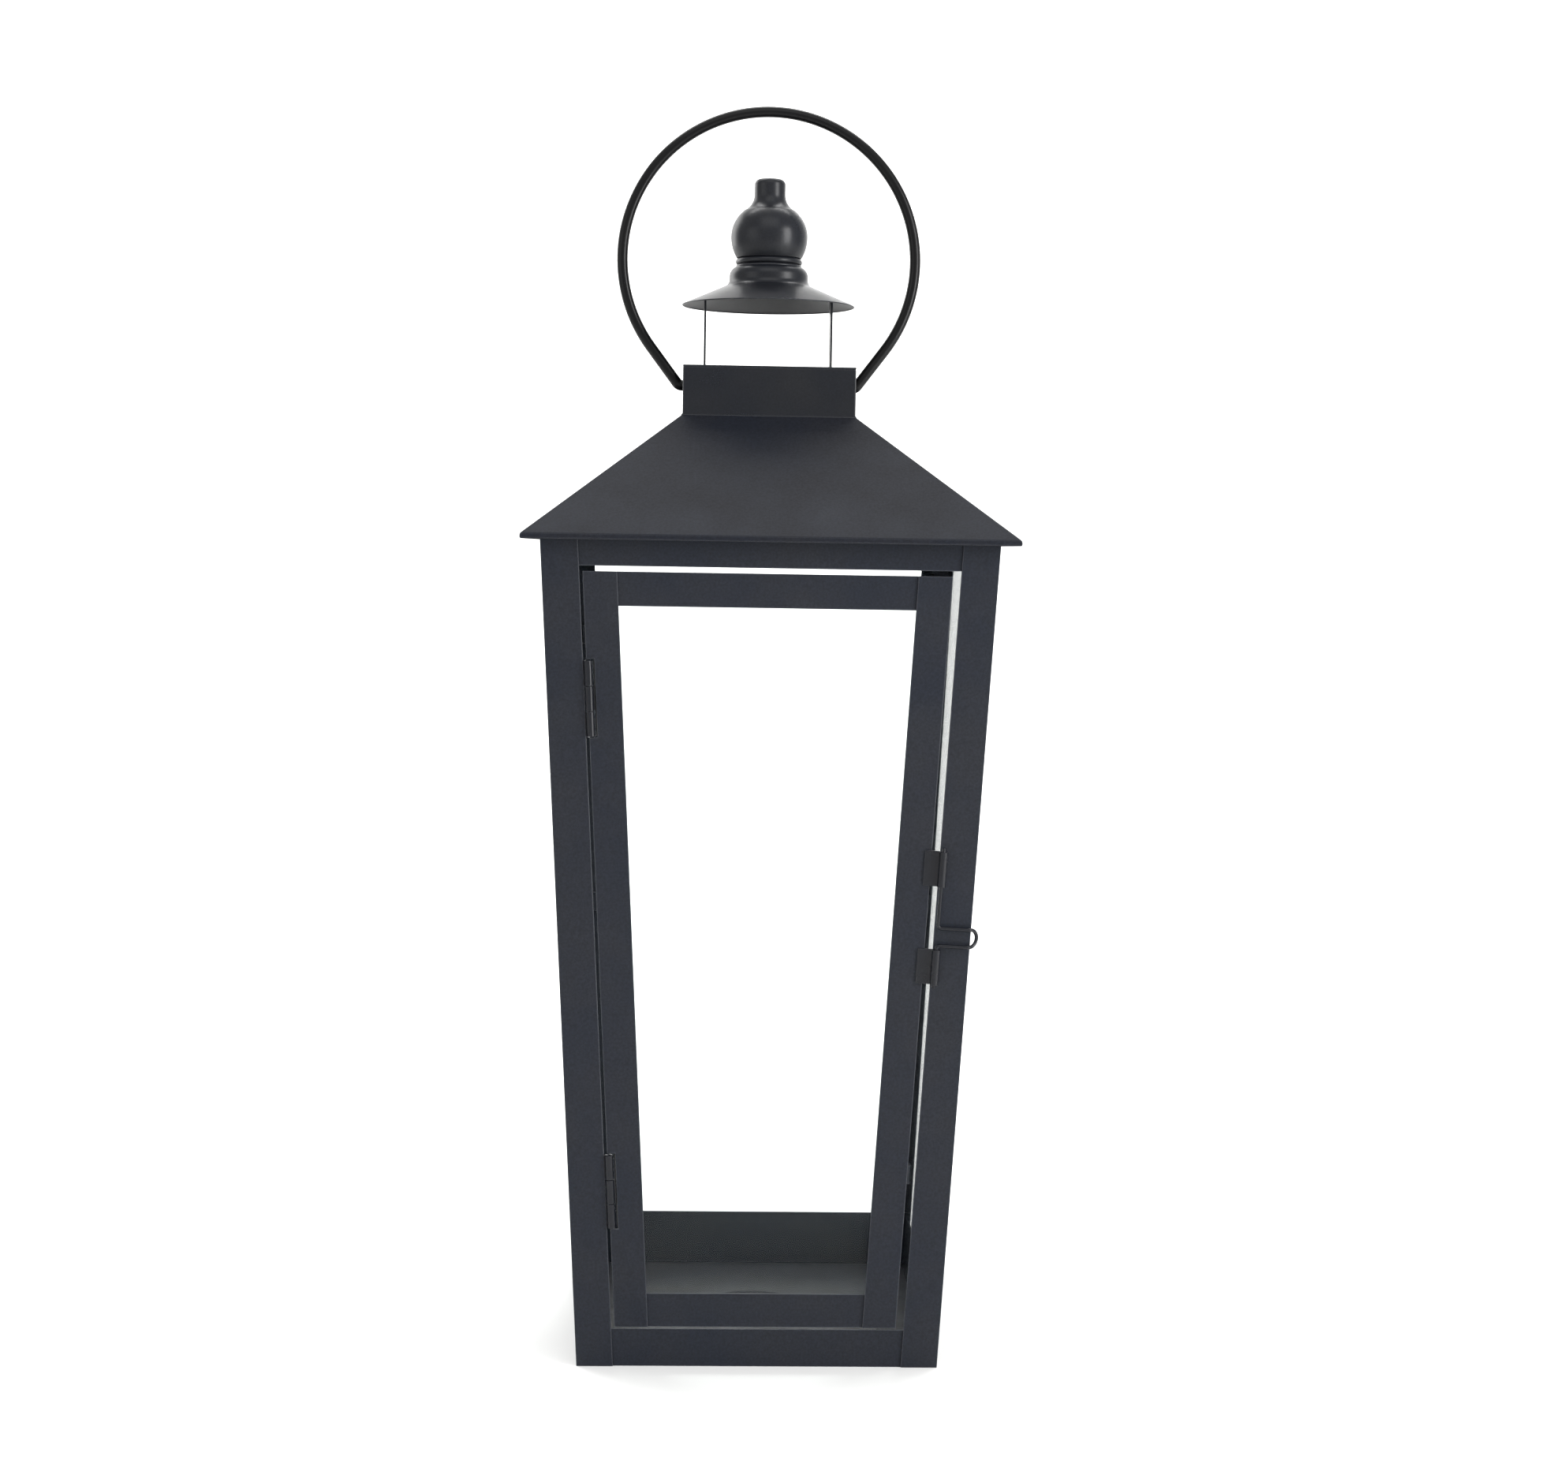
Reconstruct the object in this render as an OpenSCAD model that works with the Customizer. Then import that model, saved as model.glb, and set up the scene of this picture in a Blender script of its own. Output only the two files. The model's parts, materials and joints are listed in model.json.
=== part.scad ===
// Candle lantern: a tapering steel frame glazed on four sides, a hinged front door with a wire hasp,
// a pyramid roof, a square collar with a vent, a spun cap with a finial, and a swinging ring handle.
// Millimetres, +Z up, the front (door) faces -Y, origin at the middle of the base.

/* [Frame] */
// Outside width of the frame at the floor
base_w = 173; // [150:1:200]
// Outside width of the frame at frame_h
top_w = 214; // [180:1:250]
// Height over which the frame widens from base_w to top_w
frame_h = 400; // [330:1:480]
// Thickness of the sheet steel
sheet = 1; // [0.8:0.1:1.5]
// Width of each flange of the corner posts
post_w = 17.5; // [15:0.5:22]
// Height of the front sill
front_sill_h = 18.5; // [12:0.5:26]
// Height of the rear and side sills
side_sill_h = 32; // [20:0.5:50]
// Distance from frame_h down to the bottom of the headers
header_drop = 17.4; // [12:0.2:30]
// Width of the flange that the sills turn inwards under the floor
sill_flange = 12; // [8:0.5:20]

/* [Floor] */
// Height of the top of the floor plate
floor_z = 4.6; // [3.6:0.2:12]
// Diameter of the pressed candle seat
seat_d = 55; // [40:1:90]
// Depth of the pressed candle seat
seat_depth = 1.2; // [0.6:0.1:2]

/* [Roof and collar] */
// Width of the roof across the eaves
eave_w = 231.2; // [225:0.2:290]
// Distance that the eave hangs below frame_h
eave_drop = 5.4; // [3:0.2:10]
// Height of the folded lip of the eave
eave_lip = 2.4; // [1.4:0.2:6]
// Rise of the roof above the lip
roof_rise = 59; // [40:1:80]
// Width of the square collar
collar_w = 84; // [72:0.5:102]
// Height of the collar
collar_h = 23; // [16:0.5:34]
// Diameter of the vent hole
vent_d = 42; // [24:1:44]

/* [Cap and finial] */
// Clear height between the vent plate and the brim of the cap
cap_gap = 32.6; // [22:0.2:42]
// Diameter of the brim
brim_d = 86; // [80:0.5:104]
// Slope of the brim
brim_slope = 23.6; // [16:0.2:30]
// Diameter of the neck of the cap
neck_d = 39.2; // [34:0.2:44]
// Height of the cap from brim to crown
cap_h = 19.9; // [18.5:0.1:26]
// Distance of each cap strip from the centre
strip_x = 31.4; // [29:0.2:33]
// Width of the cap strips
strip_w = 14; // [10:0.5:18]
// Largest diameter of the finial bulb
bulb_d = 38.2; // [35:0.2:46]
// Height of the finial
finial_h = 42.5; // [40:0.5:52]
// Diameter of the finial's tip
tip_d = 15.4; // [12:0.2:18]

/* [Ring handle] */
// Radius of the ring's centreline
ring_r = 73; // [68:0.5:95]
// Diameter of the ring's wire
ring_wire = 5.4; // [3.5:0.1:7]
// Angle below level at which the ring runs into its legs
leg_a = 37; // [30:1:42]
// Distance from the top of the collar down to the pivot holes
pivot_drop = 6.6; // [4:0.2:12]
// Length of each pivot pin inside the collar
pin_in = 8; // [4:0.5:14]

/* [Door] */
// Width of the door's stiles
stile_w = 16; // [12:0.5:20]
// Height of the door's top rail
top_rail_h = 16; // [12:0.5:24]
// Height of the door's bottom rail
bottom_rail_h = 16.5; // [12:0.5:24]
// Gap between the door and the post that carries it
hinge_gap = 1.5; // [1.2:0.1:2.5]
// Gap between the door and the post that it latches to
latch_gap = 3.8; // [2:0.1:4.2]
// Gap above the door
top_gap = 2.5; // [1.5:0.1:5]
// Gap below the door
bottom_gap = 1; // [0.6:0.1:3]
// Thickness of the glass
glass_t = 2; // [1.5:0.1:3]

/* [Hinges and latch] */
// Height of each hinge
hinge_h = 35.4; // [24:0.2:48]
// Height of the middle of the upper hinge
upper_hinge_z = 321; // [260:1:335]
// Height of the middle of the lower hinge
lower_hinge_z = 86; // [78:1:130]
// Outside diameter of the hinge knuckles and the latch lugs
barrel_d = 4; // [3.4:0.1:5]
// Diameter of the hinge pins
hinge_pin_d = 2; // [1.6:0.1:2.4]
// Thickness of the hinge leaves and the lug plates
leaf_t = 0.8; // [0.6:0.1:1]
// Height of the middle of the latch
latch_z = 219.5; // [160:1:280]
// Height of each latch lug
lug_h = 16.8; // [12:0.2:22]
// Clear distance between the two latch lugs
lug_space = 30; // [22:0.5:40]
// Diameter of the hasp's wire
hasp_wire = 1.8; // [1.4:0.1:2.2]
// Distance between the two legs of the hasp
hasp_spread = 8.4; // [6:0.2:13]

/* [Hidden] */

steel_colour = "#3c3e42";
dark_colour = "#2e3034";
glass_colour = [0.85, 0.92, 0.93, 0.35];
run_fit = 0.06;    // radial clearance of a pin that turns in a bore
seat_fit = 0.25;   // clearance of a plate that drops in between others
spin_gap = 0.3;    // gap between a turning knuckle and what stands still
overcut = 1;       // how far a cutting solid passes the face that it cuts
weld_lap = 0.25;   // how far a straight length of wire runs into a bent one
wire_step = 0.04;  // how much thinner the straight lengths are

// Taper of the frame
taper = (top_w - base_w) / 2 / frame_h;
lean = atan(taper);
edge_lean = atan(taper * cos(lean));

// Depths behind the outer faces: posts and stiles, then rails, then glass, then clips
rail_d = sheet;
glass_d = 2 * sheet;
clip_d = glass_d + glass_t;
glass_edge = 11;   // distance of a fixed pane's edge from the side faces
clip_foot = 4;
clip_finger = 6;
clip_w = 10;
clip_shares = [0.14, 0.5, 0.86];
door_clip_shares = [0.125, 0.48, 0.875];

// Roof
eave_z = frame_h - eave_drop;
slope_z = eave_z + eave_lip;
roof_z = slope_z + roof_rise;
slope = roof_rise / (eave_w - collar_w) * 2;
roof_skin = sheet * sqrt(1 + slope * slope);
spigot_h = 5;
collar_top = roof_z + collar_h;
vent_top = collar_top + sheet;

// Cap, as heights and radii measured from the brim
brim_z = vent_top + cap_gap;
cove_r = 4;
shoulder_r = 5.2;
crown_in = 2;      // how far the crown's flat overlaps the curve of the shoulder
crown_step = 0.9;  // height of the crown above the end of that curve
shoulder_z = cap_h - crown_step - sqrt(shoulder_r * shoulder_r - crown_in * crown_in);
crown_r = neck_d / 2 - shoulder_r + crown_in;
cove_x = neck_d / 2 + cove_r;
cove_z = cove_r / cos(brim_slope) + (brim_d / 2 - cove_x) * tan(brim_slope);
foot_l = 8;
rivet_d = 3;
rivet_head = 1.2;
rivet_y = strip_w / 2 - rivet_d;

// Finial, as heights from its foot
finial_z = brim_z + cap_h;
finial_wall = 1.2;
bead_r = 1.6;
foot_x = crown_r - bead_r + 0.2;
bulb_z = 14;       // widest place of the bulb
bulb_fall = 19.5;  // half-height of the ellipse below it
bulb_low = 10.4;   // how far down that ellipse is followed
bulb_rise = 17.4;  // half-height of the ellipse above it
bulb_join = 13;    // how far up that ellipse is followed
tip_h = 7.5;
tip_round = 2.7;
bolt_d = 5;
bolt_head = 3;
bolt_af = 9;       // width of the bolt's head across its corners

// Ring handle
pivot_z = collar_top - pivot_drop;
ring_bend = 3.2;    // radius of the wire where it turns into its pins
pin_clear = 0.56;  // gap between the collar and the bend of the wire
bend_run = ring_bend * tan((90 - leg_a) / 2);
leg_x = collar_w / 2 + pin_clear + bend_run;
leg_run = (ring_r * cos(leg_a) - leg_x) / sin(leg_a);
ring_z = pivot_z + ring_r * sin(leg_a) + leg_run * cos(leg_a);

// Door: distances from the side faces of the frame, and heights
door_left = post_w + hinge_gap;
door_right = post_w + latch_gap;
door_z0 = front_sill_h + bottom_gap;
door_z1 = frame_h - header_drop - top_gap;
pane_lap = 7;      // distance from a stile's outer edge to the door glass
rail_in = 0.6;     // how far the rails stop short of the stiles' outer edges

// Hinges: axis measured from the left face and the front face
barrel_r = barrel_d / 2;
hinge_e = post_w + spin_gap + barrel_r;
hinge_d = rail_d + leaf_t - barrel_r;
leaf_w = 11;
leaf_back = barrel_r + spin_gap + 0.1;
knuckle = hinge_h / 3;
pin_head = 0.5;
head_in = 0.4;     // how far the pin's head stays inside the knuckle's outer surface
// Knuckles of each leaf, as pairs of start and end along the pin
outer_knuckles = [[-hinge_h / 2, -knuckle / 2 - spin_gap / 2], [knuckle / 2 + spin_gap / 2, hinge_h / 2]];
middle_knuckle = [[-knuckle / 2 + spin_gap / 2, knuckle / 2 - spin_gap / 2]];

// Latch: axis measured from the right face and the front face
latch_e = post_w - 1.5;
latch_d = -barrel_r - 0.4;
lug_lap = 3.3;
lug_tail = 3;      // length of the part of the lug that is tangent to its barrel
lug_step = 2.05;   // distance from the barrel's axis to the end of the lug's plate
rod_out = 1.6;
hasp_bend = 1.6;
hasp_turn = asin(0.6);
hasp_over = 2.8;   // how far the end of the hasp reaches past the side face
hasp_low = -lug_space / 2 + 0.4 + hasp_bend;
hasp_high = hasp_low + hasp_spread;

// ---- shared geometry ----

// Half of the frame's outside width at a height
function half(z) = base_w / 2 + taper * z;

// Height at which the underside of the roof meets a plane that lies d behind the outer faces
function under_roof(d) =
    (slope_z + (eave_w - base_w + 2 * d) / 2 * slope - roof_skin) / (1 + taper * slope);

// Place across the front: side is -1 for left or 1 for right, e is the distance from that side face
function across(side, e, z) = side * (half(z) - e);

function front_quad(l, r, d0, d1, z_front, z_back) = [
    [across(l[0], l[1], z_front), d0 - half(z_front), z_front],
    [across(r[0], r[1], z_front), d0 - half(z_front), z_front],
    [across(r[0], r[1], z_back), d1 - half(z_back), z_back],
    [across(l[0], l[1], z_back), d1 - half(z_back), z_back]
];

function square_at(w, z) = [[-w, -w, z], [w, -w, z], [w, w, z], [-w, w, z]];

function arc(x, y, r, from, to, steps = 8) =
    [for (i = [0 : steps]) let (a = from + (to - from) * i / steps) [x + r * cos(a), y + r * sin(a)]];

function reversed(list) = [for (i = [len(list) - 1 : -1 : 0]) list[i]];

// Right edge of the bulb at a height above its widest place
function bulb_x(dz, rise, d) = d / 2 * sqrt(max(0, 1 - pow(dz / rise, 2)));

// Solid between two matching outlines; caps lists the flat parts of its two ends
module loft(lower, upper, caps = [[0, 1, 2, 3]]) {
    n = len(lower);
    polyhedron(
        points = concat(lower, upper),
        faces = concat(
            caps,
            [for (c = caps) [for (i = reversed(c)) i + n]],
            [for (i = [0 : n - 1]) let (j = (i + 1) % n) [i, i + n, j + n, j]]
        )
    );
}

// Plate that lies in the front face, between depths d0 and d1
module front_plate(l, r, d0, d1, z0, z1) {
    loft(front_quad(l, r, d0, d1, z0, z0), front_quad(l, r, d0, d1, z1, z1));
}

// The same plate, cut at the top to the underside of the roof
module roofed_plate(l, r, d0, d1, z0) {
    loft(front_quad(l, r, d0, d1, z0, z0), front_quad(l, r, d0, d1, under_roof(d0), under_roof(d1)));
}

// Frame of axes on a slanting line of the front face: x across, y inwards, z along the line
module edge_frame(side, e, d, z) {
    translate([across(side, e, z), d - half(z), z])
        rotate([lean, 0, 0])
            rotate([0, side * edge_lean, 0])
                children();
}

module wire_bend(r, from, to, d) {
    rotate([0, 0, from])
        rotate_extrude(angle = to - from, $fn = 96)
            translate([r, 0])
                circle(d = d, $fn = 32);
}

// ---- frame ----

function post_outline(z_out, z_in) = [
    [half(z_out), half(z_out), z_out],
    [half(z_out) - post_w, half(z_out), z_out],
    [half(z_in) - post_w, half(z_in) - sheet, z_in],
    [half(z_in) - sheet, half(z_in) - sheet, z_in],
    [half(z_in) - sheet, half(z_in) - post_w, z_in],
    [half(z_out), half(z_out) - post_w, z_out]
];

module post(turn) {
    color(steel_colour)
        rotate([0, 0, turn])
            loft(post_outline(0, 0), post_outline(under_roof(0), under_roof(sheet)),
                 [[0, 1, 2, 3], [0, 3, 4, 5]]);
}

module header(turn, inset) {
    color(steel_colour)
        rotate([0, 0, turn])
            roofed_plate([-1, inset], [1, inset], rail_d, glass_d, frame_h - header_drop);
}

module sill(turn, inset, h) {
    under = glass_d + sill_flange;
    side = inset > sheet ? under : glass_d;
    color(steel_colour)
        rotate([0, 0, turn]) {
            front_plate([-1, inset], [1, inset], rail_d, glass_d, 0, h);
            front_plate([-1, side], [1, side], glass_d - 0.01, under, 0, sheet);
        }
}

module floor_plate() {
    w = base_w - 4 * sheet - 2 * seat_fit;
    color(steel_colour)
        difference() {
            union() {
                translate([-w / 2, -w / 2, floor_z - sheet])
                    cube([w, w, sheet]);
                translate([0, 0, sheet])
                    difference() {
                        translate([-w / 2, -w / 2, 0])
                            cube([w, w, floor_z - sheet]);
                        translate([sheet - w / 2, sheet - w / 2, -overcut])
                            cube([w - 2 * sheet, w - 2 * sheet, floor_z + overcut]);
                    }
                translate([0, 0, floor_z - sheet - seat_depth])
                    cylinder(d = seat_d + 2 * sheet, h = sheet + seat_depth, $fn = 96);
            }
            translate([0, 0, floor_z - seat_depth])
                cylinder(d = seat_d, h = seat_depth + overcut, $fn = 96);
        }
}

// ---- glazing of the three fixed sides ----

module fixed_glass(turn) {
    color(glass_colour)
        rotate([0, 0, turn])
            front_plate([-1, glass_edge], [1, glass_edge], glass_d, clip_d,
                        floor_z, frame_h - header_drop / 2);
}

// One clip at a height: a foot on the sheet, a riser past the glass edge and a finger on the glass
module clip(side, e, z) {
    z0 = z - clip_w / 2;
    z1 = z + clip_w / 2;
    module piece(e0, e1, d0, d1) {
        outer = side < 0 ? e0 : e1;
        inner = side < 0 ? e1 : e0;
        front_plate([side, outer], [side, inner], d0, d1, z0, z1);
    }
    piece(e - clip_foot - sheet, e - seat_fit, sheet, sheet + leaf_t);
    piece(e - seat_fit - leaf_t, e - seat_fit, sheet, clip_d + leaf_t);
    piece(e - seat_fit - leaf_t, e + clip_finger, clip_d, clip_d + leaf_t);
}

module fixed_glass_clips(turn) {
    color(steel_colour)
        rotate([0, 0, turn])
            for (side = [-1, 1], share = clip_shares)
                clip(side, glass_edge, frame_h * share);
}

// ---- roof, collar and vent ----

module roof() {
    eave = eave_w / 2;
    lip_in = eave - sheet;
    neck = collar_w / 2 - sheet;
    throat = neck - sheet;
    turn_z = slope_z + sheet * slope - roof_skin;
    throat_z = slope_z + (eave - throat) * slope - roof_skin;
    color(steel_colour)
        difference() {
            union() {
                loft(square_at(eave, eave_z), square_at(eave, slope_z));
                loft(square_at(eave, slope_z), square_at(collar_w / 2, roof_z));
                loft(square_at(neck, roof_z - sheet), square_at(neck, roof_z + spigot_h));
            }
            loft(square_at(lip_in, eave_z - overcut), square_at(lip_in, turn_z));
            loft(square_at(lip_in, turn_z), square_at(throat, throat_z));
            loft(square_at(throat, throat_z), square_at(throat, roof_z + spigot_h + overcut));
        }
}

module collar() {
    color(dark_colour)
        difference() {
            translate([-collar_w / 2, -collar_w / 2, roof_z])
                cube([collar_w, collar_w, collar_h]);
            translate([sheet - collar_w / 2, sheet - collar_w / 2, roof_z - overcut])
                cube([collar_w - 2 * sheet, collar_w - 2 * sheet, collar_h + 2 * overcut]);
            translate([-collar_w, 0, pivot_z])
                rotate([0, 90, 0])
                    cylinder(d = ring_wire + 2 * run_fit, h = 2 * collar_w, $fn = 48);
        }
}

module rivet_places() {
    for (side = [-1, 1], y = [-rivet_y, rivet_y])
        translate([side * (strip_x - foot_l / 2), y, collar_top])
            children();
}

module vent_plate() {
    color(dark_colour)
        difference() {
            translate([-collar_w / 2, -collar_w / 2, collar_top])
                cube([collar_w, collar_w, sheet]);
            translate([0, 0, collar_top - overcut])
                cylinder(d = vent_d, h = sheet + 2 * overcut, $fn = 96);
            rivet_places()
                translate([0, 0, -overcut])
                    cylinder(d = rivet_d, h = sheet + 2 * overcut, $fn = 24);
        }
}

// ---- cap and finial ----

// Outline of the cap, from the brim in to the axis, set back by t from the outer surface
function cap_edge(t) = concat(
    [[brim_d / 2 - t / sin(brim_slope), 0]],
    arc(cove_x, cove_z, cove_r + t, 270 - brim_slope, 180),
    arc(cove_x - cove_r - shoulder_r, shoulder_z, shoulder_r - t, 0, acos(2 / shoulder_r)),
    [[crown_r - t, cap_h - t], [0, cap_h - t]]
);

module cap_skin(t0, t1) {
    translate([0, 0, brim_z])
        rotate_extrude($fn = 96)
            polygon(concat(cap_edge(t0), reversed(cap_edge(t1))));
}

module cap_skirt() {
    color(dark_colour)
        difference() {
            cap_skin(0, sheet);
            translate([0, 0, brim_z])
                cylinder(d = bolt_d + 2 * run_fit, h = cap_h + overcut, $fn = 32);
        }
}

module cap_strip(side) {
    x0 = strip_x - sheet / 2;
    color(dark_colour)
        mirror([side < 0 ? 1 : 0, 0, 0]) {
            difference() {
                translate([x0, -strip_w / 2, vent_top])
                    cube([sheet, strip_w, cap_gap + cap_h]);
                translate([0, 0, brim_z])
                    rotate_extrude($fn = 96)
                        polygon(concat(cap_edge(sheet), [[0, 2 * cap_h], [brim_d, 2 * cap_h], [brim_d, 0]]));
            }
            intersection() {
                translate([x0 - foot_l, -strip_w / 2, brim_z])
                    cube([foot_l + sheet, strip_w, cap_h]);
                cap_skin(sheet, 2 * sheet);
            }
            difference() {
                translate([x0 - foot_l, -strip_w / 2, vent_top])
                    cube([foot_l + sheet, strip_w, sheet]);
                rivet_places()
                    cylinder(d = rivet_d, h = 3 * sheet, $fn = 24);
            }
        }
}

module cap_strip_rivets() {
    color(dark_colour)
        rivet_places()
            translate([0, 0, -rivet_head]) {
                cylinder(d = 2 * rivet_d, h = rivet_head, $fn = 24);
                cylinder(d = rivet_d, h = 2 * sheet + 2 * rivet_head, $fn = 24);
                translate([0, 0, rivet_head + 2 * sheet])
                    cylinder(d = 2 * rivet_d, h = rivet_head, $fn = 24);
            }
}

module finial() {
    join_z = bulb_z + bulb_join;
    dx = bulb_x(bulb_join, bulb_rise, bulb_d) - tip_d / 2;
    dz = finial_h - tip_h - join_z;
    sweep_r = (dx * dx + dz * dz) / dx / 2;
    inner = bulb_d - 2 * finial_wall;
    foot_in = foot_x - finial_wall + bead_r / 2;
    color(dark_colour)
        translate([0, 0, finial_z])
            difference() {
                rotate_extrude($fn = 96)
                    polygon(concat(
                        [[0, 0]],
                        arc(foot_x, bead_r, bead_r, -90, 60),
                        [for (i = [-4 : 5])
                            let (z = i < 0 ? i * bulb_low / 4 : i * bulb_join / 5,
                                 rise = i < 0 ? bulb_fall : bulb_rise)
                            [bulb_x(z, rise, bulb_d), bulb_z + z]],
                        arc(tip_d / 2 + sweep_r, join_z + dz, sweep_r,
                            180 + asin(dz / sweep_r), 180),
                        arc(tip_d / 2 - tip_round, finial_h - tip_round, tip_round, 0, 90, 5),
                        [[0, finial_h]]
                    ));
                rotate_extrude($fn = 96)
                    polygon(concat(
                        [[0, -overcut], [foot_in, -overcut]],
                        [for (i = [-5 : 5])
                            let (z = i < 0 ? i * bulb_low / 4 : i * (bulb_join - finial_wall) / 5,
                                 rise = i < 0 ? bulb_fall : bulb_rise - finial_wall)
                            [min(bulb_x(z, rise, inner), foot_in + 0.9 * (bulb_z + z)), bulb_z + z]],
                        [[0, join_z - finial_wall]]
                    ));
                cylinder(d = bolt_d + 2 * run_fit, h = finial_h - tip_h + bead_r, $fn = 32);
            }
}

module finial_bolt() {
    color(dark_colour)
        translate([0, 0, finial_z - sheet - bolt_head]) {
            cylinder(d = bolt_af, h = bolt_head, $fn = 6);
            cylinder(d = bolt_d, h = bolt_head + sheet + finial_h - tip_h, $fn = 32);
        }
}

// ---- ring handle ----

module handle() {
    straight_d = ring_wire - wire_step;
    pin_from = collar_w / 2 - sheet - pin_in;
    color(dark_colour) {
        translate([0, 0, ring_z])
            rotate([90, 0, 0])
                wire_bend(ring_r, -leg_a, 180 + leg_a, ring_wire);
        for (side = [0, 1])
            mirror([side, 0, 0]) {
                translate([ring_r * cos(leg_a), 0, ring_z - ring_r * sin(leg_a)])
                    rotate([0, 180 + leg_a, 0])
                        translate([0, 0, -weld_lap])
                            cylinder(d = straight_d, h = leg_run - bend_run + 2 * weld_lap, $fn = 32);
                translate([leg_x - bend_run, 0, pivot_z + ring_bend])
                    rotate([90, 0, 0])
                        wire_bend(ring_bend, -90, -leg_a, ring_wire);
                translate([pin_from, 0, pivot_z])
                    rotate([0, 90, 0])
                        cylinder(d = straight_d, h = leg_x - bend_run + weld_lap - pin_from, $fn = 32);
            }
    }
}

// ---- door ----

module hinge_notch(z) {
    edge_frame(-1, hinge_e, 0, z)
        translate([-overcut - barrel_r, -overcut, -hinge_h / 2 - pin_head - spin_gap])
            cube([2 * barrel_r + 2 * overcut, sheet + 2 * overcut, hinge_h + 2 * pin_head + 2 * spin_gap]);
}

module door_left_stile() {
    color(steel_colour)
        difference() {
            front_plate([-1, door_left], [-1, door_left + stile_w], 0, sheet, door_z0, door_z1);
            hinge_notch(upper_hinge_z);
            hinge_notch(lower_hinge_z);
        }
}

module door_right_stile() {
    color(steel_colour)
        front_plate([1, door_right + stile_w], [1, door_right], 0, sheet, door_z0, door_z1);
}

module door_rail(z0, z1) {
    color(steel_colour)
        front_plate([-1, door_left + rail_in], [1, door_right + rail_in], rail_d, glass_d, z0, z1);
}

module door_glass() {
    color(glass_colour)
        front_plate([-1, door_left + pane_lap], [1, door_right + pane_lap], glass_d, clip_d,
                    door_z0 + bottom_rail_h / 4, door_z1 - top_rail_h / 4);
}

module door_glass_clips() {
    color(steel_colour)
        for (share = door_clip_shares) {
            clip(-1, door_left + pane_lap, frame_h * share);
            clip(1, door_right + pane_lap, frame_h * share);
        }
}

// ---- hinges ----

module hinge_leaf(side, z, knuckles) {
    color(steel_colour)
        edge_frame(-1, hinge_e, hinge_d, z)
            difference() {
                union() {
                    translate([side > 0 ? leaf_back : -leaf_w, barrel_r - leaf_t, -hinge_h / 2])
                        cube([leaf_w - leaf_back, leaf_t, hinge_h]);
                    for (k = knuckles)
                        translate([0, 0, k[0]]) {
                            cylinder(d = barrel_d, h = k[1] - k[0], $fn = 48);
                            translate([side > 0 ? 0 : -leaf_back - sheet, barrel_r - leaf_t, 0])
                                cube([leaf_back + sheet, leaf_t, k[1] - k[0]]);
                        }
                }
                translate([0, 0, -hinge_h])
                    cylinder(d = hinge_pin_d + 2 * run_fit, h = 2 * hinge_h, $fn = 32);
            }
}

module hinge_pin(z) {
    color(dark_colour)
        edge_frame(-1, hinge_e, hinge_d, z)
            translate([0, 0, -hinge_h / 2 - pin_head]) {
                cylinder(d = hinge_pin_d, h = hinge_h + 2 * pin_head, $fn = 32);
                for (up = [0, hinge_h + pin_head])
                    translate([0, 0, up])
                        cylinder(d = barrel_d - 2 * head_in, h = pin_head, $fn = 32);
            }
}

// ---- latch ----

module latch_frame() {
    edge_frame(1, latch_e, latch_d, latch_z)
        children();
}

module latch_lug(z0) {
    plate_x = latch_e - door_right - lug_lap;
    color(dark_colour)
        latch_frame()
            translate([0, 0, z0])
                difference() {
                    union() {
                        cylinder(d = barrel_d, h = lug_h, $fn = 48);
                        translate([-lug_tail, barrel_r - leaf_t, 0])
                            cube([lug_tail, leaf_t, lug_h]);
                        translate([plate_x, -latch_d - leaf_t, 0])
                            cube([-plate_x - lug_step, leaf_t, lug_h]);
                    }
                    translate([0, 0, -overcut])
                        cylinder(d = hasp_wire + 2 * run_fit, h = lug_h + 2 * overcut, $fn = 32);
                }
}

module latch_hasp() {
    rod_end = lug_space / 2 + lug_h + rod_out;
    loop_r = hasp_spread / 2;
    leg = latch_e + hasp_over - hasp_bend * (1 + sin(hasp_turn)) - loop_r * cos(hasp_turn);
    color(dark_colour)
        latch_frame() {
            translate([0, 0, -rod_end])
                cylinder(d = hasp_wire, h = rod_end + hasp_low - hasp_bend, $fn = 32);
            translate([0, 0, hasp_high + hasp_bend])
                cylinder(d = hasp_wire, h = rod_end - hasp_high - hasp_bend, $fn = 32);
            translate([hasp_bend, 0, hasp_low - hasp_bend])
                rotate([90, 0, 0])
                    wire_bend(hasp_bend, 90, 180, hasp_wire);
            translate([hasp_bend, 0, hasp_high + hasp_bend])
                rotate([90, 0, 0])
                    wire_bend(hasp_bend, 180, 270, hasp_wire);
            for (z = [hasp_low, hasp_high])
                translate([hasp_bend, 0, z]) {
                    rotate([0, 90, 0])
                        cylinder(d = hasp_wire, h = leg, $fn = 32);
                    translate([leg, hasp_bend, 0])
                        wire_bend(hasp_bend, -90, hasp_turn - 90, hasp_wire);
                }
            translate([hasp_bend + leg, hasp_bend, hasp_low + loop_r])
                rotate([0, 0, hasp_turn])
                    translate([0, -hasp_bend, 0])
                        rotate([90, 0, 0])
                            wire_bend(loop_r, -90, 90, hasp_wire);
        }
}

// ---- assembly ----

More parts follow.
